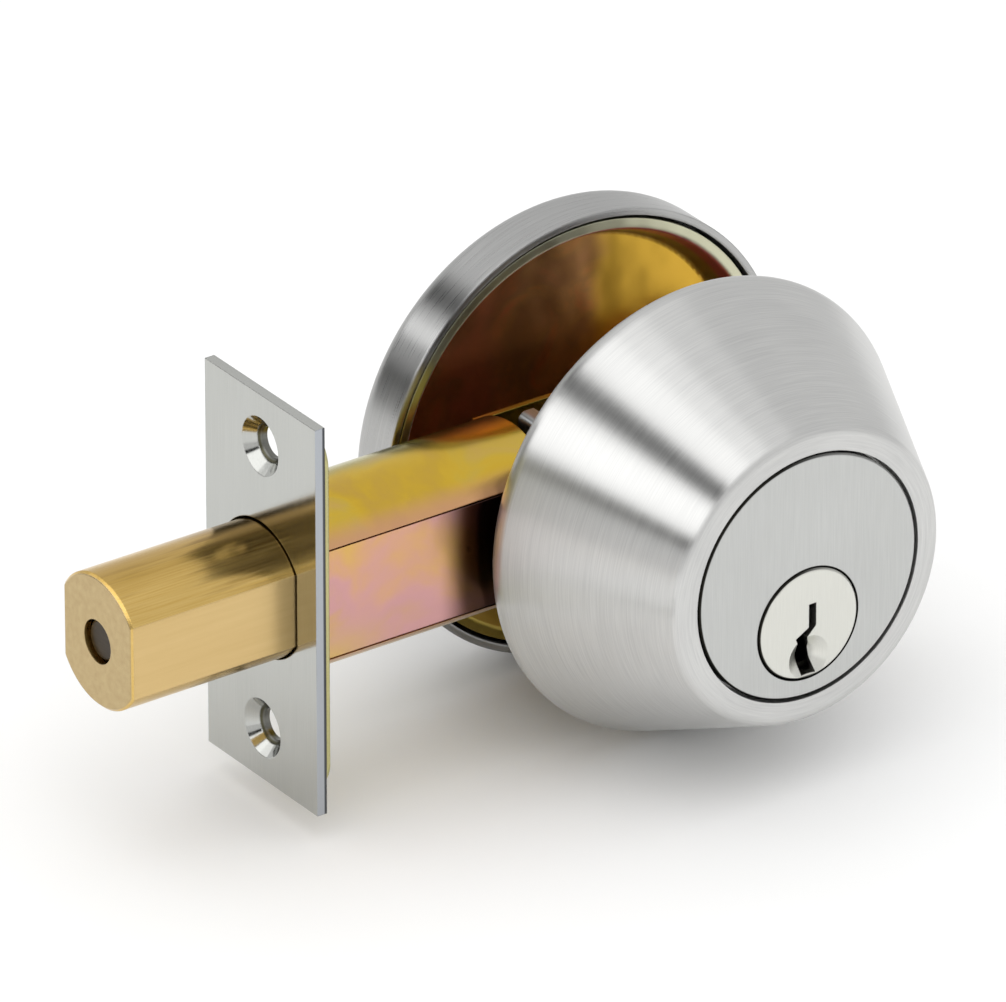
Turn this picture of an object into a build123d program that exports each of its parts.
from build123d import *
import os
from math import atan2, cos, hypot, pi, radians, sin, sqrt

# Single-cylinder tubular deadbolt for a 54 mm cross bore and a 25.4 mm edge bore.
# Frame: X along the bolt (it throws towards -X), -Y the key side, +Y the room side, Z up.
# Origin: where the cross bore's axis meets the bolt's axis, midway between the two trim rims.
# The lock is at rest with the bolt thrown and the thumb-turn level.

# ---- the door and the layout ----
BACKSET = 60.3  # door edge (front of the faceplate) to the cross bore's axis
CROSS_BORE_DIAMETER = 54.0
TRIM_SPACING = 23.0  # between the collar's rim and the rose's rim
HUB_DROP = 6.9  # hub, plug and thumb-turn axis below the bolt's axis

# ---- clearances ----
RUNNING_GAP = 0.3  # between pieces that slide or turn past each other
PLUG_GAP = 0.2  # plug in its bore, and the plug's head in its counterbore
PIN_GAP = 0.15  # pins in their chambers, and screws in their threaded holes
SEAM_GAP = 0.25  # between the case channel and its cover
FIT_GAP = 0.05  # round pieces that are pressed or screwed together
SOCKET_GAP = 0.1  # round pieces that drop into a socket

# ---- faceplate and backing plate ----
FACEPLATE_WIDTH = 25.4
FACEPLATE_HEIGHT = 57.15
FACEPLATE_THICKNESS = 1.5
BACKING_THICKNESS = 1.2
BACKING_SIDE_INSET = 0.9  # in from the faceplate's long edges
BACKING_END_INSET = 1.8  # in from its short edges
BACKING_CORNER_RADIUS = 5.0
SCREW_HOLE_SPACING = 41.9
SCREW_HOLE_DIAMETER = 4.5
COUNTERSINK_DIAMETER = 8.4

# ---- bolt ----
BOLT_THROW = 25.4
BOLT_STAND_OFF = 0.5  # bolt end in front of the faceplate when it is drawn back
BOLT_HEIGHT = 19.1  # across the rounded top and bottom
BOLT_WIDTH = 16.0  # across the flats
BOLT_LENGTH = 44.0
BOLT_CHAMFER = 0.4
SHOULDER_LENGTH = 6.0  # band round the bolt that runs in the case and stops the throw
SHOULDER_SETBACK = 0.7  # behind the backing plate when the bolt is thrown
INSERT_DIAMETER = 6.0
INSERT_LENGTH = 28.0
INSERT_RECESS = 0.7
INSERT_CHAMFER = 0.4

# ---- bolt link ----
LINK_THICKNESS = 3.0
LINK_HEIGHT = 6.0
LINK_BOTTOM = 1.0  # underside of the link above the bolt's axis
LINK_POCKET_DEPTH = 9.0
LINK_HORN_WIDTH = 2.5
LINK_HORN_TOP = 12.5
LINK_RIVET_DIAMETER = 3.0

# ---- case ----
CASE_HEIGHT = 24.6  # across the round top and bottom
CASE_WALL = 0.9
TUBE_END = 20.0  # the round top and bottom stop this far in front of the cross bore's axis
CHEEK_TOP = 9.0
CHEEK_BOTTOM = -16.0
CHEEK_REAR = 25.0
CHEEK_BORE_GAP = 1.0  # between the cheeks' round outline and the door's cross bore
RIVET_DIAMETER = 4.4
RIVET_NECK_DIAMETER = 2.6
LOWER_RIVET_SPREAD = 28.6  # from one lower rivet to the other
LOWER_RIVET_INSET = 3.0  # above the cheeks' bottom edge
REAR_RIVET_INSET = 4.5  # in from the cheeks' rear edge
REAR_RIVET_RISE = 4.4  # above the hub's axis

# ---- hub ----
CRANK_RADIUS = BOLT_THROW / sqrt(2)  # a quarter turn moves the pin by the whole throw
CRANK_REST_ANGLE = 135.0
CRANK_PIN_DIAMETER = 4.0
CRANK_SLACK = 0.75  # room each side of the pin, for the rise and fall of its arc
ARM_THICKNESS = 2.5
ARM_TIP_RADIUS = 4.0
ARM_SIDE_GAP = 0.5
BARREL_RADIUS = 6.2
DETENT_FLAT_DEPTH = 0.6
JOURNAL_RADIUS = 5.0
JOURNAL_PROJECTION = 0.4
DETENT_THICKNESS = 0.5
DETENT_WIDTH = 8.0
DETENT_FLAT_LENGTH = 8.0  # the level stretch under the hub
DETENT_OVERHANG = 2.2  # past the middle of each rivet

# ---- tailpiece ----
BLADE_HEIGHT = 5.0
BLADE_THICKNESS = 2.2
BLADE_GAP = 0.25
BLADE_TIP_COVER = 2.5  # thumb-turn metal in front of the blade's tip
BLADE_TIP_CHAMFER = 0.5
CROSS_HEAD_WIDTH = 3.0
CROSS_HEAD_THICKNESS = 1.6
POCKET_WALL = 0.7  # plug metal round the cross-head's pocket

# ---- collar ----
COLLAR_DEPTH = 27.6  # rim to front lip
COLLAR_RADIUS = 33.15  # at the sharp corner that the edge rounding takes off
COLLAR_RIM_INSET = 4.35  # from that corner in to the rim's inner edge
COLLAR_EDGE_WIDTH = 2.55  # the sloping band from the rim to that corner
COLLAR_EDGE_HEIGHT = 1.6
COLLAR_EDGE_ROUNDING = 2.4
COLLAR_WALL = 2.4
LIP_WIDTH = 3.2  # from the lip's bore to the sharp corner of its outer edge
LIP_ROUNDING = 1.6
LIP_BORE_GAP = 0.4
LEDGE_THICKNESS = 2.5
LEDGE_BORE_GAP = 0.3
GUARD_RING_THICKNESS = 1.6
GUARD_RING_WIDTH = 6.7
GUARD_RING_SETBACK = 0.4  # behind the rim

# ---- cylinder ----
CYLINDER_FACE_RADIUS = 17.6
CYLINDER_FLANGE_THICKNESS = 3.5
CYLINDER_FLANGE_STEP = 1.2  # from the flange's edge in to the body
CYLINDER_CASE_GAP = 1.1  # between the cylinder's rear and the case
FACE_CHAMFER = 0.3
PLUG_RADIUS = 6.5
PLUG_HEAD_STEP = 1.5  # from the plug's side out to its head's edge
PLUG_HEAD_THICKNESS = 2.2
PLUG_PROUD = 0.25
PLUG_REAR_SETBACK = 2.7  # in front of the cylinder's rear
CAP_STEP = 0.7  # from the plug's side out to the cap's edge
CAP_THICKNESS = 1.4
CAP_SIDE_GAP = 0.4
CAP_SCREW_INSET = 1.85  # screw centre in from the plug's side
CAP_SCREW_RADIUS = 0.75
CAP_SCREW_LENGTH = 4.3
CAP_SCREW_HEAD_RADIUS = 1.5
CAP_SCREW_HEAD_HEIGHT = 0.7
PIN_COUNT = 5
PIN_PITCH = 3.96
FIRST_PIN_SETBACK = 5.2  # behind the cylinder's face
PIN_RADIUS = 1.45
KEY_PIN_LENGTHS = [4.45, 3.45, 5.05, 3.85, 4.65]  # one bitting
KEY_PIN_TIP_RADIUS = 0.5
KEY_PIN_TIP_HEIGHT = 0.8
DRIVER_PIN_LENGTH = 5.0
PLUG_CHAMBER_FLOOR = 1.0  # above the plug's axis
CHAMBER_COVER_SETBACK = 3.2  # its underside, below the top of the body
CHAMBER_COVER_MARGIN = 0.85  # each side of the chambers
CHAMBER_COVER_THICKNESS = 1.4
SPRING_WIRE = 0.4  # square wire
SPRING_TURNS = 5
SPRING_SIDES = 6  # straight runs to a turn
KEYWAY_DEPTH_BELOW_AXIS = 7.6
KEYWAY_MOUTH_RADIUS = 3.2
KEYWAY_MOUTH_FOOT_RADIUS = 1.2
KEYWAY_MOUTH_DEPTH = 1.4
KEYWAY_MOUTH_DROP = 5.0  # its centre below the plug's axis

# ---- through screws ----
MOUNTING_SCREW_OFFSET = 11.0
MOUNTING_SCREW_DIAMETER = 4.8
MOUNTING_SCREW_TIP_COVER = 2.6  # cylinder metal in front of the screws' tips
MOUNTING_SCREW_TIP_CHAMFER = 0.8
MOUNTING_HEAD_RADIUS = 4.2
MOUNTING_HEAD_HEIGHT = 1.9
MOUNTING_HEAD_CHAMFER = 0.8
CROSS_SLOT_LENGTH = 4.6
CROSS_SLOT_WIDTH = 1.1
CROSS_SLOT_DEPTH = 1.2

# ---- rose and mounting plate ----
ROSE_RADIUS = 32.2
ROSE_RIM_DEPTH = 8.0
ROSE_DEPTH = 11.0
ROSE_WALL = 1.0
ROSE_SHOULDER_RADIUS = 3.0
ROSE_DOME_RUN = 9.0  # the sloping band inside the shoulder
PLATE_EDGE_GAP = 0.6  # between the plate's edge and the inside of the rose
PLATE_THICKNESS = 1.5
PLATE_SETBACK = 0.4
PLATE_FLANGE_WIDTH = 1.5
PLATE_WALL_RUN = 2.0  # how far the dished wall leans in
PLATE_DISH_DEPTH = 4.1
PLATE_BEND_RADIUS = 0.8

# ---- thumb-turn ----
TURN_BOSS_RADIUS = 9.0
TURN_SKIRT_RADIUS = 11.5
TURN_SKIRT_THICKNESS = 2.2
TURN_SKIRT_ROUNDING = 1.2
TURN_LENGTH = 34.0
TURN_WAIST_LENGTH = 16.0  # where the grip leaves the skirt
TURN_WAIST_HEIGHT = 2.4  # above the skirt
TURN_TIP_HEIGHT = 6.0  # the grip's two upright ends
TURN_TIP_ROUNDING = 3.0
TURN_GRIP_THICKNESS = 8.0
TURN_GRIP_ROUNDING = 1.5
TURN_PROJECTION = 17.5
SPINDLE_RADIUS = 3.5
SPINDLE_LENGTH = 18.5
SPINDLE_REACH = 4.5  # in front of the mounting plate's floor
SPINDLE_HOLE_GAP = 1.0
RETAINING_RING_THICKNESS = 0.8
RETAINING_RING_WIDTH = 2.2
RETAINING_RING_OPENING = 4.0
RING_GROOVE_DEPTH = 0.65
WASHER_THICKNESS = 0.5
WASHER_WIDTH = 1.9

# ---- worked out from the sizes above: the latch ----
FACEPLATE_REAR = -BACKSET + FACEPLATE_THICKNESS
BACKING_REAR = FACEPLATE_REAR + BACKING_THICKNESS
BOLT_END = -BACKSET - BOLT_THROW - BOLT_STAND_OFF
BOLT_REAR = BOLT_END + BOLT_LENGTH
CHEEK_INNER = BOLT_WIDTH / 2 + RUNNING_GAP
CASE_WIDTH = 2 * (CHEEK_INNER + CASE_WALL)
CASE_INNER_RADIUS = CASE_HEIGHT / 2 - CASE_WALL
CASE_FLAT_HALF_HEIGHT = sqrt((CASE_HEIGHT / 2) ** 2 - (CASE_WIDTH / 2) ** 2)
LOWER_RIVETS = [(side * LOWER_RIVET_SPREAD / 2, CHEEK_BOTTOM + LOWER_RIVET_INSET) for side in (-1, 1)]
REAR_RIVET = (CHEEK_REAR - REAR_RIVET_INSET, REAR_RIVET_RISE - HUB_DROP)
RIVET_CENTRES = LOWER_RIVETS + [REAR_RIVET]
CRANK_PIN_X = CRANK_RADIUS * cos(radians(CRANK_REST_ANGLE))
CRANK_PIN_Z = CRANK_RADIUS * sin(radians(CRANK_REST_ANGLE)) - HUB_DROP
ARM_INNER = LINK_THICKNESS / 2 + ARM_SIDE_GAP
ARM_OUTER = ARM_INNER + ARM_THICKNESS

# ---- the key side ----
COLLAR_RIM = -TRIM_SPACING / 2
COLLAR_RIM_INNER_RADIUS = COLLAR_RADIUS - COLLAR_RIM_INSET
CYLINDER_FACE = COLLAR_RIM - COLLAR_DEPTH
CYLINDER_BODY_RADIUS = CYLINDER_FACE_RADIUS - CYLINDER_FLANGE_STEP
CYLINDER_REAR = -CASE_WIDTH / 2 - CYLINDER_CASE_GAP
LIP_BORE_RADIUS = CYLINDER_FACE_RADIUS + LIP_BORE_GAP
LIP_RADIUS = LIP_BORE_RADIUS + LIP_WIDTH
LEDGE_FRONT = CYLINDER_FACE + CYLINDER_FLANGE_THICKNESS
PLUG_FRONT = CYLINDER_FACE - PLUG_PROUD
PLUG_REAR = CYLINDER_REAR - PLUG_REAR_SETBACK
PLUG_HEAD_RADIUS = PLUG_RADIUS + PLUG_HEAD_STEP
PLUG_BORE_RADIUS = PLUG_RADIUS + PLUG_GAP
CAP_RADIUS = PLUG_RADIUS + CAP_STEP
CAP_REAR = PLUG_REAR + CAP_THICKNESS
CAP_SCREW_OFFSET = (PLUG_RADIUS - CAP_SCREW_INSET) / sqrt(2)
CAP_SCREW_PLACES = [(side * CAP_SCREW_OFFSET, side * CAP_SCREW_OFFSET - HUB_DROP) for side in (-1, 1)]
CHAMBER_RADIUS = PIN_RADIUS + PIN_GAP
CHAMBER_TOP = CYLINDER_BODY_RADIUS - CHAMBER_COVER_SETBACK
PIN_PLACES = [CYLINDER_FACE + FIRST_PIN_SETBACK + i * PIN_PITCH for i in range(PIN_COUNT)]
DRIVER_PIN_BOTTOM = -HUB_DROP + PLUG_BORE_RADIUS + FIT_GAP
CROSS_HEAD_LENGTH = 2 * (PLUG_RADIUS - POCKET_WALL - RUNNING_GAP)
CROSS_POCKET_FRONT = PLUG_REAR - CROSS_HEAD_THICKNESS - 2 * PLUG_GAP
BLADE_WAY_RADIUS = hypot(BLADE_HEIGHT, BLADE_THICKNESS) / 2 + RUNNING_GAP

# ---- the room side ----
ROSE_RIM = TRIM_SPACING / 2
ROSE_BACK = ROSE_RIM + ROSE_DEPTH
PLATE_FRONT = ROSE_RIM + PLATE_SETBACK
PLATE_FLOOR = PLATE_FRONT + PLATE_DISH_DEPTH
PLATE_REAR = PLATE_FLOOR + PLATE_THICKNESS
MOUNTING_SCREW_TIP = CYLINDER_FACE + MOUNTING_SCREW_TIP_COVER
MOUNTING_SCREW_PLACES = [(side * MOUNTING_SCREW_OFFSET, -HUB_DROP) for side in (-1, 1)]
WASHER_FRONT = ROSE_BACK - ROSE_WALL - FIT_GAP - WASHER_THICKNESS
RING_FRONT = WASHER_FRONT - FIT_GAP - RETAINING_RING_THICKNESS
TURN_BOSS_FRONT = RING_FRONT - PLUG_GAP
TURN_SKIRT_FRONT = ROSE_BACK + RUNNING_GAP
TURN_END = ROSE_BACK + TURN_PROJECTION
BLADE_END = TURN_END - BLADE_TIP_COVER
SPINDLE_FRONT = PLATE_FLOOR - SPINDLE_REACH


# ---- shapes used again and again ----
def span_box(x_range, y_range, z_range):
    """A box between two values along each axis."""
    ranges = (x_range, y_range, z_range)
    centre = [(low + high) / 2 for low, high in ranges]
    size = [high - low for low, high in ranges]
    return Pos(*centre) * Box(*size)


def rod_along_y(radius, start, end, x=0.0, z=0.0):
    """A cylinder parallel to the door's cross bore."""
    rod = Cylinder(radius, end - start, align=(Align.CENTER, Align.CENTER, Align.MIN))
    return Pos(x, start, z) * Rot(-90, 0, 0) * rod


def rod_up(radius, bottom, top, y):
    """A vertical cylinder over the plug's axis."""
    return Pos(0, y, bottom) * Cylinder(
        radius, top - bottom, align=(Align.CENTER, Align.CENTER, Align.MIN)
    )


def rod_along_x(radius, start, end, z=0.0):
    """A cylinder parallel to the bolt."""
    rod = Cylinder(radius, end - start, align=(Align.CENTER, Align.CENTER, Align.MIN))
    return Pos(start, 0, z) * Rot(0, 90, 0) * rod


def cone_along_x(start_radius, end_radius, start, end, z):
    """A cone parallel to the bolt."""
    cone = Cone(start_radius, end_radius, end - start, align=(Align.CENTER, Align.CENTER, Align.MIN))
    return Pos(start, 0, z) * Rot(0, 90, 0) * cone


def spun_round_y(outline, rounded=()):
    """A closed outline of (radius, y) points turned round the cross bore's axis.

    Each rounded corner is one of those points and the radius of its arc.
    """
    face = make_face(Polyline(*outline, close=True))
    for point, radius in rounded:
        face = fillet(face.vertices().sort_by_distance(point)[0], radius)
    return revolve(face, axis=Axis.Y)


def ring_round_hub_axis(outer, inner, start, thickness):
    """A flat ring on the axis that the plug, the hub and the thumb-turn share."""
    ring = rod_along_y(outer, start, start + thickness, z=-HUB_DROP)
    return ring - rod_along_y(inner, start - 1, start + thickness + 1, z=-HUB_DROP)


def double_d(radius, half_width, start, end):
    """A bar along X whose section is a circle with two flat sides."""
    section = Circle(radius) & Rectangle(2 * half_width, 2 * radius)
    return extrude(Plane.YZ.offset(start) * section, amount=end - start)


def blade_slot(start, end, gap=BLADE_GAP):
    """The tailpiece's flat blade on the hub's axis, with a gap all round."""
    half_x = BLADE_THICKNESS / 2 + gap
    half_z = BLADE_HEIGHT / 2 + gap
    return span_box((-half_x, half_x), (start, end), (-HUB_DROP - half_z, -HUB_DROP + half_z))


# ---- the edge of the door ----
def faceplate_openings():
    """The bolt's way and the two screw holes, through both plates."""
    way = double_d(
        BOLT_HEIGHT / 2 + RUNNING_GAP, BOLT_WIDTH / 2 + RUNNING_GAP, -BACKSET - 1, BACKING_REAR + 1
    )
    hole_radius = SCREW_HOLE_DIAMETER / 2
    sink_radius = COUNTERSINK_DIAMETER / 2
    sink_depth = sink_radius - hole_radius
    for side in (-1, 1):
        z = side * SCREW_HOLE_SPACING / 2
        way += rod_along_x(hole_radius, -BACKSET, BACKING_REAR + 1, z)
        way += cone_along_x(sink_radius, hole_radius, -BACKSET, -BACKSET + sink_depth, z)
    return way


def faceplate():
    half_width, half_height = FACEPLATE_WIDTH / 2, FACEPLATE_HEIGHT / 2
    plate = span_box((-BACKSET, FACEPLATE_REAR), (-half_width, half_width), (-half_height, half_height))
    return plate - faceplate_openings()


def backing_plate():
    width = FACEPLATE_WIDTH - 2 * BACKING_SIDE_INSET
    height = FACEPLATE_HEIGHT - 2 * BACKING_END_INSET
    section = RectangleRounded(width, height, BACKING_CORNER_RADIUS)
    plate = extrude(Plane.YZ.offset(FACEPLATE_REAR) * section, amount=BACKING_THICKNESS)
    return plate - faceplate_openings()


# ---- the case ----
def cheek(side):
    """One side plate: a strip beside the bolt that widens to a round web in the cross bore."""
    inner, outer = sorted((side * CHEEK_INNER, side * CASE_WIDTH / 2))
    strip_half = CASE_FLAT_HALF_HEIGHT
    strip = span_box((BACKING_REAR, 0), (inner, outer), (-strip_half, strip_half))
    web = rod_along_y(CROSS_BORE_DIAMETER / 2 - CHEEK_BORE_GAP, inner, outer)
    web &= span_box((-TUBE_END, CHEEK_REAR), (inner, outer), (CHEEK_BOTTOM, CHEEK_TOP))
    plate = strip + web
    plate -= rod_along_y(JOURNAL_RADIUS + RUNNING_GAP, inner - 1, outer + 1, z=-HUB_DROP)
    for x, z in MOUNTING_SCREW_PLACES:
        radius = MOUNTING_SCREW_DIAMETER / 2 + 2 * RUNNING_GAP
        plate -= rod_along_y(radius, inner - 1, outer + 1, x, z)
    for x, z in RIVET_CENTRES:
        plate -= rod_along_y(RIVET_NECK_DIAMETER / 2, inner - 1, outer + 1, x, z)
    return plate


def case_channel():
    """The far side plate with the round top and bottom that wrap the bolt."""
    tube = double_d(CASE_HEIGHT / 2, CASE_WIDTH / 2, BACKING_REAR, -TUBE_END)
    tube -= double_d(CASE_INNER_RADIUS, CHEEK_INNER, BACKING_REAR - 1, -TUBE_END + 1)
    near_side = (-CASE_WIDTH, -CHEEK_INNER)
    flat_range = (-CASE_FLAT_HALF_HEIGHT, CASE_FLAT_HALF_HEIGHT)
    tube -= span_box((BACKING_REAR - 1, -TUBE_END + 1), near_side, flat_range)
    return tube + cheek(1)


def case_cover():
    """The near side plate, a flat lid between the channel's two edges."""
    trimmed = CASE_FLAT_HALF_HEIGHT - SEAM_GAP
    plate = cheek(-1)
    y_range = (-CASE_WIDTH / 2 - 1, -CHEEK_INNER + 1)
    for low, high in ((trimmed, CASE_HEIGHT), (-CASE_HEIGHT, -trimmed)):
        plate -= span_box((BACKING_REAR - 1, -TUBE_END + SEAM_GAP), y_range, (low, high))
    return plate


def case_rivets():
    """Shouldered spacers that hold the two side plates apart, staked flush in them."""
    rivets = []
    for x, z in RIVET_CENTRES:
        rivet = rod_along_y(RIVET_DIAMETER / 2, -CHEEK_INNER, CHEEK_INNER, x, z)
        rivet += rod_along_y(RIVET_NECK_DIAMETER / 2, -CASE_WIDTH / 2, CASE_WIDTH / 2, x, z)
        rivets.append(rivet)
    return rivets


def detent_spring():
    """A leaf that rests on the two lower rivets and bows under the hub's flats."""
    rivet_x, rivet_z = LOWER_RIVETS[1]
    seat = rivet_z + RIVET_DIAMETER / 2 + FIT_GAP
    bow = -HUB_DROP - BARREL_RADIUS - RUNNING_GAP - DETENT_THICKNESS
    bow_reach = DETENT_FLAT_LENGTH / 2
    bend = rivet_x - DETENT_OVERHANG
    end = rivet_x + DETENT_OVERHANG
    right_half = [(bow_reach, bow), (bend, seat), (end, seat)]
    underside = [(-x, z) for x, z in reversed(right_half)] + right_half
    top = [(x, z + DETENT_THICKNESS) for x, z in reversed(underside)]
    leaf = make_face(Plane.XZ * Polyline(*underside, *top, close=True))
    return extrude(leaf, amount=DETENT_WIDTH / 2, both=True)


# ---- the hub ----
def crank_arm(start, end):
    """A tapered arm from the hub's axis to the crank pin."""
    root_circle = Pos(0, -HUB_DROP) * Circle(BARREL_RADIUS)
    tip_circle = Pos(CRANK_PIN_X, CRANK_PIN_Z) * Circle(ARM_TIP_RADIUS)
    outline = make_hull(root_circle.edges() + tip_circle.edges())
    return Pos(0, end, 0) * extrude(Plane.XZ * outline, amount=end - start)


def hub():
    barrel_end = CHEEK_INNER - RUNNING_GAP
    flat = BARREL_RADIUS - DETENT_FLAT_DEPTH
    body = rod_along_y(BARREL_RADIUS, -barrel_end, barrel_end, z=-HUB_DROP)
    body &= span_box((-flat, flat), (-barrel_end, barrel_end), (-HUB_DROP - flat, -HUB_DROP + flat))
    body += crank_arm(ARM_INNER, ARM_OUTER)
    body += crank_arm(-ARM_OUTER, -ARM_INNER)
    body &= rod_along_y(2 * CRANK_RADIUS, -barrel_end, barrel_end, z=-HUB_DROP)
    journal_end = CASE_WIDTH / 2 + JOURNAL_PROJECTION
    body += rod_along_y(JOURNAL_RADIUS, -journal_end, journal_end, z=-HUB_DROP)
    body -= blade_slot(-journal_end - 1, journal_end + 1)
    body -= rod_along_y(CRANK_PIN_DIAMETER / 2, -ARM_OUTER - 1, ARM_OUTER + 1, CRANK_PIN_X, CRANK_PIN_Z)
    return body


def crank_pin():
    return rod_along_y(CRANK_PIN_DIAMETER / 2, -ARM_OUTER, ARM_OUTER, CRANK_PIN_X, CRANK_PIN_Z)


# ---- the bolt ----
def link_rivet(gap=0.0):
    """The pin through bolt and link; with a gap, the hole that takes it."""
    x = BOLT_REAR - LINK_POCKET_DEPTH / 2
    z = LINK_BOTTOM + LINK_HEIGHT / 2
    half = BOLT_WIDTH / 2 - SOCKET_GAP
    return rod_along_y(LINK_RIVET_DIAMETER / 2 + gap, -half - gap, half + gap, x, z)


def deadbolt():
    bolt = double_d(BOLT_HEIGHT / 2, BOLT_WIDTH / 2, BOLT_END, BOLT_REAR)
    bolt = chamfer(bolt.faces().sort_by(Axis.X)[0].edges(), BOLT_CHAMFER)
    shoulder_front = BACKING_REAR + SHOULDER_SETBACK
    bolt += double_d(
        CASE_INNER_RADIUS - RUNNING_GAP, BOLT_WIDTH / 2, shoulder_front, shoulder_front + SHOULDER_LENGTH
    )
    insert_end = BOLT_END + INSERT_RECESS + INSERT_LENGTH
    bolt -= rod_along_x(INSERT_DIAMETER / 2 + SOCKET_GAP, BOLT_END, insert_end)
    half = LINK_THICKNESS / 2 + SOCKET_GAP
    pocket_front = BOLT_REAR - LINK_POCKET_DEPTH
    z_range = (LINK_BOTTOM - SOCKET_GAP, LINK_BOTTOM + LINK_HEIGHT + SOCKET_GAP)
    bolt -= span_box((pocket_front, BOLT_REAR + 1), (-half, half), z_range)
    return bolt - link_rivet(gap=FIT_GAP)


def hardened_insert():
    front = BOLT_END + INSERT_RECESS
    pin = rod_along_x(INSERT_DIAMETER / 2, front, front + INSERT_LENGTH)
    return chamfer(pin.edges().filter_by(GeomType.CIRCLE), INSERT_CHAMFER)


def bolt_link():
    """The bolt's steel tail: a flat bar with two horns that straddle the crank pin."""
    notch_half = CRANK_PIN_DIAMETER / 2 + CRANK_SLACK
    head_half = notch_half + LINK_HORN_WIDTH
    notch_bottom = CRANK_PIN_Z - CRANK_PIN_DIAMETER / 2 - RUNNING_GAP
    half = LINK_THICKNESS / 2
    front = BOLT_REAR - LINK_POCKET_DEPTH + SOCKET_GAP
    bar = span_box(
        (front, CRANK_PIN_X + head_half), (-half, half), (LINK_BOTTOM, LINK_BOTTOM + LINK_HEIGHT)
    )
    head_range = (CRANK_PIN_X - head_half, CRANK_PIN_X + head_half)
    link = bar + span_box(head_range, (-half, half), (LINK_BOTTOM, LINK_HORN_TOP))
    link = fillet(link.edges().filter_by(Axis.Y).group_by(Axis.Z)[-1], LINK_HORN_WIDTH / 2)
    notch_range = (CRANK_PIN_X - notch_half, CRANK_PIN_X + notch_half)
    link -= span_box(notch_range, (-half - 1, half + 1), (notch_bottom, LINK_HORN_TOP + 1))
    return link - link_rivet(gap=FIT_GAP)


# ---- the cylinder and its collar ----
def exterior_collar():
    """A hollow cone with a rounded back edge, and a ledge inside its lip for the cylinder's flange."""
    widest = (COLLAR_RADIUS, COLLAR_RIM - COLLAR_EDGE_HEIGHT)
    lip = (LIP_RADIUS, CYLINDER_FACE)
    slope = (widest[0] - lip[0]) / (widest[1] - lip[1])
    ledge_rear = LEDGE_FRONT + LEDGE_THICKNESS
    ledge_bore = CYLINDER_BODY_RADIUS + LEDGE_BORE_GAP
    ledge_outer = LIP_RADIUS + slope * (ledge_rear - CYLINDER_FACE) - COLLAR_WALL
    mouth_depth = (COLLAR_RADIUS - COLLAR_WALL - COLLAR_RIM_INNER_RADIUS) / slope
    outline = [
        (COLLAR_RIM_INNER_RADIUS, COLLAR_RIM),
        (COLLAR_RADIUS - COLLAR_EDGE_WIDTH, COLLAR_RIM),
        widest,
        lip,
        (LIP_BORE_RADIUS, CYLINDER_FACE),
        (LIP_BORE_RADIUS, LEDGE_FRONT),
        (ledge_bore, LEDGE_FRONT),
        (ledge_bore, ledge_rear),
        (ledge_outer, ledge_rear),
        (COLLAR_RIM_INNER_RADIUS, widest[1] - mouth_depth),
    ]
    return spun_round_y(outline, rounded=[(widest, COLLAR_EDGE_ROUNDING), (lip, LIP_ROUNDING)])


def collar_guard_ring():
    """A hardened ring in the collar's mouth that stops the collar being wrenched or crushed."""
    outer = COLLAR_RIM_INNER_RADIUS - SOCKET_GAP
    front = COLLAR_RIM - GUARD_RING_SETBACK - GUARD_RING_THICKNESS
    ring = rod_along_y(outer, front, front + GUARD_RING_THICKNESS)
    return ring - rod_along_y(outer - GUARD_RING_WIDTH, front - 1, COLLAR_RIM)


def cylinder_body():
    """The fixed cylinder: flange, plug bore, five pin chambers and the two screws' holes."""
    body = rod_along_y(CYLINDER_FACE_RADIUS, CYLINDER_FACE, LEDGE_FRONT)
    body = chamfer(body.faces().sort_by(Axis.Y)[0].edges(), FACE_CHAMFER)
    body += rod_along_y(CYLINDER_BODY_RADIUS, LEDGE_FRONT, CYLINDER_REAR)
    body -= rod_along_y(PLUG_BORE_RADIUS, CYLINDER_FACE - 1, CYLINDER_REAR + 1, z=-HUB_DROP)
    head_seat = PLUG_FRONT + PLUG_HEAD_THICKNESS + FIT_GAP
    body -= rod_along_y(PLUG_HEAD_RADIUS + PLUG_GAP, CYLINDER_FACE - 1, head_seat, z=-HUB_DROP)
    cap_seat = PLUG_REAR - RUNNING_GAP
    body -= rod_along_y(CAP_RADIUS + CAP_SIDE_GAP, cap_seat, CYLINDER_REAR + 1, z=-HUB_DROP)
    thread_radius = MOUNTING_SCREW_DIAMETER / 2 + PIN_GAP
    for x, z in MOUNTING_SCREW_PLACES:
        body -= rod_along_y(thread_radius, MOUNTING_SCREW_TIP - RUNNING_GAP, CYLINDER_REAR + 1, x, z)
    for y in PIN_PLACES:
        body -= rod_up(CHAMBER_RADIUS, -HUB_DROP, CHAMBER_TOP, y)
    return body - chamber_cover(gap=FIT_GAP, height=CYLINDER_BODY_RADIUS)


def chamber_cover(gap=0.0, height=CHAMBER_COVER_THICKNESS):
    """The strip that closes the pin chambers; taller, it is the groove that takes it."""
    half = CHAMBER_RADIUS + CHAMBER_COVER_MARGIN + gap
    y_range = (PIN_PLACES[0] - half, PIN_PLACES[-1] + half)
    return span_box((-half, half), y_range, (CHAMBER_TOP, CHAMBER_TOP + height))


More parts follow.
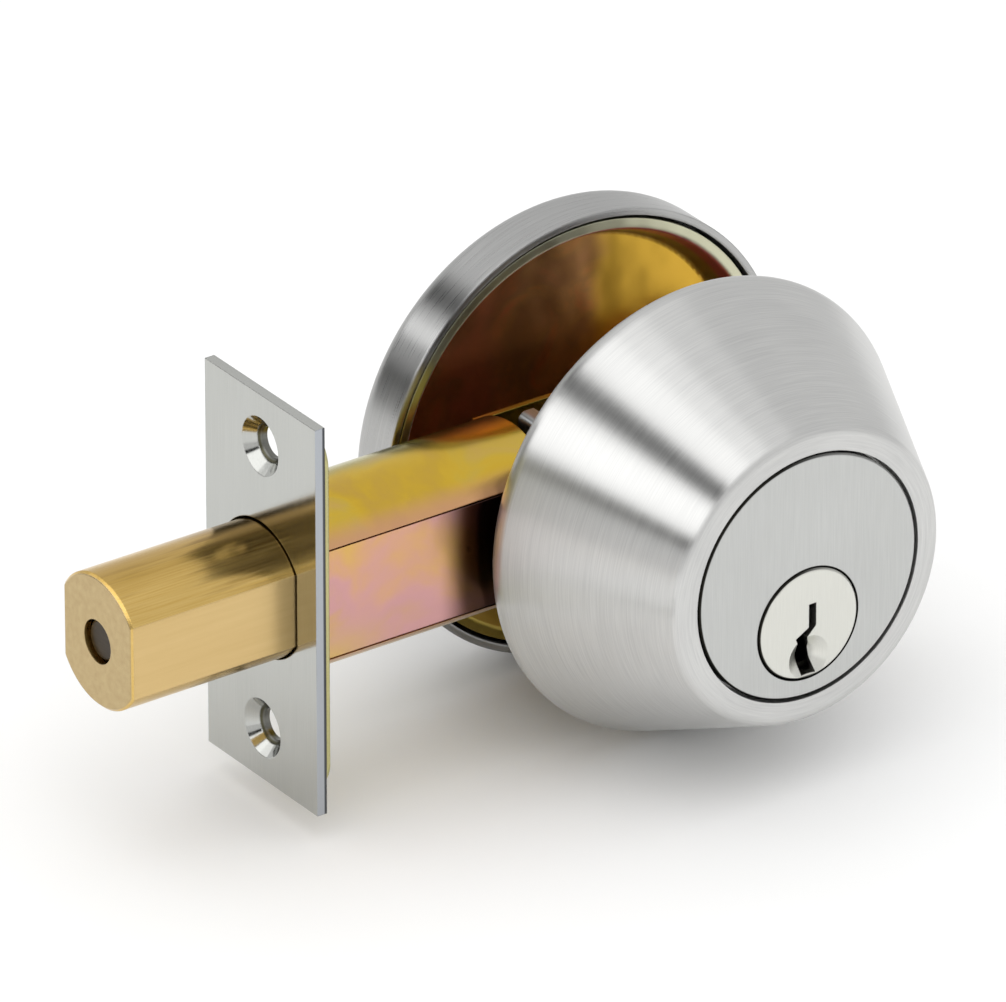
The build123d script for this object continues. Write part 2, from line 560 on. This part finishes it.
def keyway():
    """A zigzag slot that leaves the plug at its foot, with a bevelled mouth."""
    foot = -KEYWAY_DEPTH_BELOW_AXIS
    ward_line = [
        (0.0, 2.9),
        (1.2, 2.9),
        (1.2, -0.5),
        (-0.2, -1.9),
        (0.6, -3.4),
        (1.3, foot),
        (-0.9, foot),
        (-1.5, -3.4),
        (-2.1, -1.7),
        (0.0, -0.5),
    ]
    points = [(x, z - HUB_DROP) for x, z in ward_line]
    section = Pos(0, CROSS_POCKET_FRONT, 0) * make_face(Plane.XZ * Polyline(*points, close=True))
    slot = extrude(section, amount=CROSS_POCKET_FRONT - PLUG_FRONT + 1, dir=(0, -1, 0))
    mouth = Cone(
        KEYWAY_MOUTH_RADIUS,
        KEYWAY_MOUTH_FOOT_RADIUS,
        KEYWAY_MOUTH_DEPTH,
        align=(Align.CENTER, Align.CENTER, Align.MIN),
    )
    return slot + Pos(0, PLUG_FRONT, -HUB_DROP - KEYWAY_MOUTH_DROP) * Rot(-90, 0, 0) * mouth


def key_plug():
    """The turning plug: a head in the cylinder's face, the keyway and the lower pin chambers."""
    head_rear = PLUG_FRONT + PLUG_HEAD_THICKNESS
    plug = rod_along_y(PLUG_HEAD_RADIUS, PLUG_FRONT, head_rear, z=-HUB_DROP)
    plug = chamfer(plug.faces().sort_by(Axis.Y)[0].edges(), FACE_CHAMFER)
    plug += rod_along_y(PLUG_RADIUS, head_rear, PLUG_REAR, z=-HUB_DROP)
    plug -= keyway()
    for y in PIN_PLACES:
        plug -= rod_up(CHAMBER_RADIUS, -HUB_DROP + PLUG_CHAMBER_FLOOR, -HUB_DROP + PLUG_RADIUS + 1, y)
    plug -= cross_pocket()
    for x, z in CAP_SCREW_PLACES:
        plug -= rod_along_y(CAP_SCREW_RADIUS + FIT_GAP, CAP_REAR - CAP_SCREW_LENGTH, PLUG_REAR + 1, x, z)
    return plug


def cross_pocket():
    """A bow-tie pocket: the tailpiece's cross-head can lag the plug by a quarter turn."""
    radius = CROSS_HEAD_LENGTH / 2 + RUNNING_GAP
    stop = CROSS_HEAD_WIDTH / 2 + BLADE_GAP
    y_range = (CROSS_POCKET_FRONT, PLUG_REAR + 1)
    pocket = rod_along_y(radius, *y_range, z=-HUB_DROP)
    for side in (-1, 1):
        x_range = sorted((side * stop, side * 2 * radius))
        z_range = sorted((side * stop - HUB_DROP, side * 2 * radius - HUB_DROP))
        pocket -= span_box(x_range, y_range, z_range)
    return pocket + rod_along_y(BLADE_WAY_RADIUS, *y_range, z=-HUB_DROP)


def plug_cap():
    """The disc on the plug's rear that keeps the tailpiece in its pocket."""
    cap = rod_along_y(CAP_RADIUS, PLUG_REAR, CAP_REAR, z=-HUB_DROP)
    cap -= rod_along_y(BLADE_WAY_RADIUS, PLUG_REAR - 1, CAP_REAR + 1, z=-HUB_DROP)
    for x, z in CAP_SCREW_PLACES:
        cap -= rod_along_y(CAP_SCREW_RADIUS + FIT_GAP, PLUG_REAR - 1, CAP_REAR + 1, x, z)
    return cap


def plug_cap_screws():
    screws = []
    for x, z in CAP_SCREW_PLACES:
        screw = rod_along_y(CAP_SCREW_RADIUS, CAP_REAR - CAP_SCREW_LENGTH + PIN_GAP, CAP_REAR, x, z)
        screw += rod_along_y(CAP_SCREW_HEAD_RADIUS, CAP_REAR, CAP_REAR + CAP_SCREW_HEAD_HEIGHT, x, z)
        screws.append(screw)
    return screws


def key_pins():
    """Bottom pins, lifted so that their tops meet the shear line."""
    pins = []
    top = -HUB_DROP + PLUG_RADIUS - FIT_GAP
    for y, length in zip(PIN_PLACES, KEY_PIN_LENGTHS):
        tip = Cone(
            KEY_PIN_TIP_RADIUS,
            PIN_RADIUS,
            KEY_PIN_TIP_HEIGHT,
            align=(Align.CENTER, Align.CENTER, Align.MIN),
        )
        pin = rod_up(PIN_RADIUS, top - length + KEY_PIN_TIP_HEIGHT, top, y)
        pins.append(pin + Pos(0, y, top - length) * tip)
    return pins


def driver_pins():
    top = DRIVER_PIN_BOTTOM + DRIVER_PIN_LENGTH
    return [rod_up(PIN_RADIUS, DRIVER_PIN_BOTTOM, top, y) for y in PIN_PLACES]


def pin_springs():
    """Coils of square wire between the driver pins and the cover."""
    bottom = DRIVER_PIN_BOTTOM + DRIVER_PIN_LENGTH + SPRING_WIRE / 2
    height = CHAMBER_TOP - SPRING_WIRE / 2 - bottom
    coil_radius = PIN_RADIUS - SPRING_WIRE / 2 - FIT_GAP
    runs = SPRING_TURNS * SPRING_SIDES
    angles = [2 * pi * i / SPRING_SIDES for i in range(runs + 1)]
    points = [
        (coil_radius * cos(angle), coil_radius * sin(angle), height * i / runs)
        for i, angle in enumerate(angles)
    ]
    line = Polyline(*points)
    section = Plane(line @ 0, z_dir=line % 0) * Rectangle(SPRING_WIRE, SPRING_WIRE)
    coil = sweep(section, path=line, transition=Transition.RIGHT)
    return [Pos(0, y, bottom) * coil for y in PIN_PLACES]


def tailpiece():
    """The flat blade that joins plug, hub and thumb-turn, with a cross-head inside the plug."""
    head_front = CROSS_POCKET_FRONT + PLUG_GAP
    head_rear = head_front + CROSS_HEAD_THICKNESS
    half_x = CROSS_HEAD_LENGTH / 2
    half_z = CROSS_HEAD_WIDTH / 2
    bar = span_box((-half_x, half_x), (head_front, head_rear), (-HUB_DROP - half_z, -HUB_DROP + half_z))
    bar &= rod_along_y(half_x, head_front, head_rear, z=-HUB_DROP)
    blade = blade_slot(head_rear, BLADE_END, gap=0)
    return bar + chamfer(blade.faces().sort_by(Axis.Y)[-1].edges(), BLADE_TIP_CHAMFER)


# ---- the room side ----
def mounting_plate():
    """A pressed dish: a flat flange at the door's face, a leaning wall and a flat floor."""
    edge = ROSE_RADIUS - ROSE_WALL - PLATE_EDGE_GAP
    flange_bend = (edge - PLATE_FLANGE_WIDTH, PLATE_FRONT)
    floor_bend = (flange_bend[0] - PLATE_WALL_RUN, PLATE_FLOOR)
    lean = atan2(PLATE_WALL_RUN, PLATE_DISH_DEPTH)
    back_shift = PLATE_THICKNESS * (1 - sin(lean)) / cos(lean)  # keeps the wall as thick as the floor
    outline = [
        (0, PLATE_FLOOR),
        floor_bend,
        flange_bend,
        (edge, PLATE_FRONT),
        (edge, PLATE_FRONT + PLATE_THICKNESS),
        (flange_bend[0] + back_shift, PLATE_FRONT + PLATE_THICKNESS),
        (floor_bend[0] + back_shift, PLATE_REAR),
        (0, PLATE_REAR),
    ]
    bends = [(flange_bend, PLATE_BEND_RADIUS), (floor_bend, PLATE_BEND_RADIUS)]
    plate = spun_round_y(outline, rounded=bends)
    hole_range = (PLATE_FLOOR - 1, PLATE_REAR + 1)
    plate -= rod_along_y(SPINDLE_RADIUS + SPINDLE_HOLE_GAP, *hole_range, z=-HUB_DROP)
    for x, z in MOUNTING_SCREW_PLACES:
        plate -= rod_along_y(MOUNTING_SCREW_DIAMETER / 2 + PLUG_GAP, *hole_range, x, z)
    return plate


def mounting_screws():
    """The two long screws that draw plate and cylinder together through the case."""
    screws = []
    head_top = PLATE_REAR + MOUNTING_HEAD_HEIGHT
    for x, z in MOUNTING_SCREW_PLACES:
        shank = rod_along_y(MOUNTING_SCREW_DIAMETER / 2, MOUNTING_SCREW_TIP, PLATE_REAR, x, z)
        shank = chamfer(shank.faces().sort_by(Axis.Y)[0].edges(), MOUNTING_SCREW_TIP_CHAMFER)
        head = rod_along_y(MOUNTING_HEAD_RADIUS, PLATE_REAR, head_top, x, z)
        head = chamfer(head.faces().sort_by(Axis.Y)[-1].edges(), MOUNTING_HEAD_CHAMFER)
        slot_range = (head_top - CROSS_SLOT_DEPTH, head_top + 1)
        long_half, short_half = CROSS_SLOT_LENGTH / 2, CROSS_SLOT_WIDTH / 2
        for half_x, half_z in ((long_half, short_half), (short_half, long_half)):
            head -= span_box((x - half_x, x + half_x), slot_range, (z - half_z, z + half_z))
        screws.append(shank + head)
    return screws


def interior_rose():
    """A spun cover with a straight rim, a rounded shoulder and a shallow cone up to its flat."""
    inner = ROSE_RADIUS - ROSE_WALL
    shoulder = (ROSE_RADIUS, ROSE_RIM + ROSE_RIM_DEPTH)
    lean = atan2(ROSE_DEPTH - ROSE_RIM_DEPTH, ROSE_DOME_RUN)
    drop = ROSE_WALL * (1 - sin(lean)) / cos(lean)  # keeps the cone as thick as the rim
    shift = ROSE_WALL * (1 - cos(lean)) / sin(lean)
    outline = [
        (0, ROSE_BACK),
        (ROSE_RADIUS - ROSE_DOME_RUN, ROSE_BACK),
        shoulder,
        (ROSE_RADIUS, ROSE_RIM),
        (inner, ROSE_RIM),
        (inner, shoulder[1] - drop),
        (ROSE_RADIUS - ROSE_DOME_RUN - shift, ROSE_BACK - ROSE_WALL),
        (0, ROSE_BACK - ROSE_WALL),
    ]
    rose = spun_round_y(outline, rounded=[(shoulder, ROSE_SHOULDER_RADIUS)])
    return rose - rod_along_y(TURN_BOSS_RADIUS + RUNNING_GAP, ROSE_RIM, ROSE_BACK + 1, z=-HUB_DROP)


def retaining_ring():
    """A spring clip in the thumb-turn's groove, open at the bottom."""
    inner = TURN_BOSS_RADIUS - RING_GROOVE_DEPTH + FIT_GAP
    ring = ring_round_hub_axis(inner + RETAINING_RING_WIDTH, inner, RING_FRONT, RETAINING_RING_THICKNESS)
    low = -HUB_DROP - 2 * TURN_BOSS_RADIUS
    half = RETAINING_RING_OPENING / 2
    return ring - span_box((-half, half), (RING_FRONT - 1, WASHER_FRONT), (low, -HUB_DROP))


def spring_washer():
    inner = TURN_BOSS_RADIUS + RUNNING_GAP
    return ring_round_hub_axis(inner + WASHER_WIDTH, inner, WASHER_FRONT, WASHER_THICKNESS)


def turn_grip():
    """The level grip: it flares from a narrow waist to two rounded ends."""
    half = TURN_LENGTH / 2
    waist = TURN_WAIST_LENGTH / 2
    skirt_top = TURN_SKIRT_FRONT + TURN_SKIRT_THICKNESS
    root = TURN_SKIRT_FRONT + TURN_SKIRT_THICKNESS / 2
    tip = TURN_END - TURN_TIP_HEIGHT
    side = [(waist, root), (waist, skirt_top + TURN_WAIST_HEIGHT), (half, tip), (half, TURN_END)]
    flare = side + [(-x, y) for x, y in reversed(side)]
    grip = extrude(make_face(Polyline(*flare, close=True)), amount=TURN_GRIP_THICKNESS / 2, both=True)
    upright = grip.edges().filter_by(Axis.Z)
    grip = fillet([e for e in upright if abs(e.center().X) > half - 1], TURN_TIP_ROUNDING)
    return fillet(grip.faces().filter_by(Axis.Z).edges(), TURN_GRIP_ROUNDING)


def thumbturn():
    """The turn piece: a boss through the rose, a skirt over its hole and the grip."""
    skirt_top = TURN_SKIRT_FRONT + TURN_SKIRT_THICKNESS
    skirt = rod_along_y(TURN_SKIRT_RADIUS, TURN_SKIRT_FRONT, skirt_top, z=-HUB_DROP)
    skirt = fillet(skirt.faces().sort_by(Axis.Y)[-1].edges(), TURN_SKIRT_ROUNDING)
    turn = rod_along_y(TURN_BOSS_RADIUS, TURN_BOSS_FRONT, TURN_SKIRT_FRONT, z=-HUB_DROP) + skirt
    turn += Pos(0, 0, -HUB_DROP) * turn_grip()
    groove_radius = TURN_BOSS_RADIUS - RING_GROOVE_DEPTH
    turn -= ring_round_hub_axis(
        TURN_BOSS_RADIUS + 1, groove_radius, RING_FRONT - FIT_GAP, RETAINING_RING_THICKNESS + 2 * FIT_GAP
    )
    sleeve_end = SPINDLE_FRONT + SPINDLE_LENGTH
    turn -= rod_along_y(SPINDLE_RADIUS + FIT_GAP, TURN_BOSS_FRONT - 1, sleeve_end, z=-HUB_DROP)
    return turn - blade_slot(TURN_BOSS_FRONT, BLADE_END + RUNNING_GAP)


def thumbturn_spindle():
    """A steel sleeve in the thumb-turn that takes the tailpiece's blade."""
    sleeve = rod_along_y(SPINDLE_RADIUS, SPINDLE_FRONT, SPINDLE_FRONT + SPINDLE_LENGTH, z=-HUB_DROP)
    return sleeve - blade_slot(SPINDLE_FRONT - 1, SPINDLE_FRONT + SPINDLE_LENGTH + 1)


NODES = {
    "faceplate": faceplate,
    "backing_plate": backing_plate,
    "case_channel": case_channel,
    "case_cover": case_cover,
    "case_rivets": case_rivets,
    "detent_spring": detent_spring,
    "hub": hub,
    "crank_pin": crank_pin,
    "deadbolt": deadbolt,
    "hardened_insert": hardened_insert,
    "bolt_link": bolt_link,
    "link_rivet": link_rivet,
    "exterior_collar": exterior_collar,
    "collar_guard_ring": collar_guard_ring,
    "cylinder_body": cylinder_body,
    "chamber_cover": chamber_cover,
    "key_plug": key_plug,
    "key_pins": key_pins,
    "driver_pins": driver_pins,
    "pin_springs": pin_springs,
    "plug_cap": plug_cap,
    "plug_cap_screws": plug_cap_screws,
    "tailpiece": tailpiece,
    "interior_rose": interior_rose,
    "mounting_plate": mounting_plate,
    "mounting_screws": mounting_screws,
    "spring_washer": spring_washer,
    "retaining_ring": retaining_ring,
    "thumbturn": thumbturn,
    "thumbturn_spindle": thumbturn_spindle,
}

os.makedirs("parts", exist_ok=True)
for name, make in NODES.items():
    shape = make()
    if isinstance(shape, list):
        shape = Compound(children=shape)
    export_step(shape, f"parts/{name}.step")
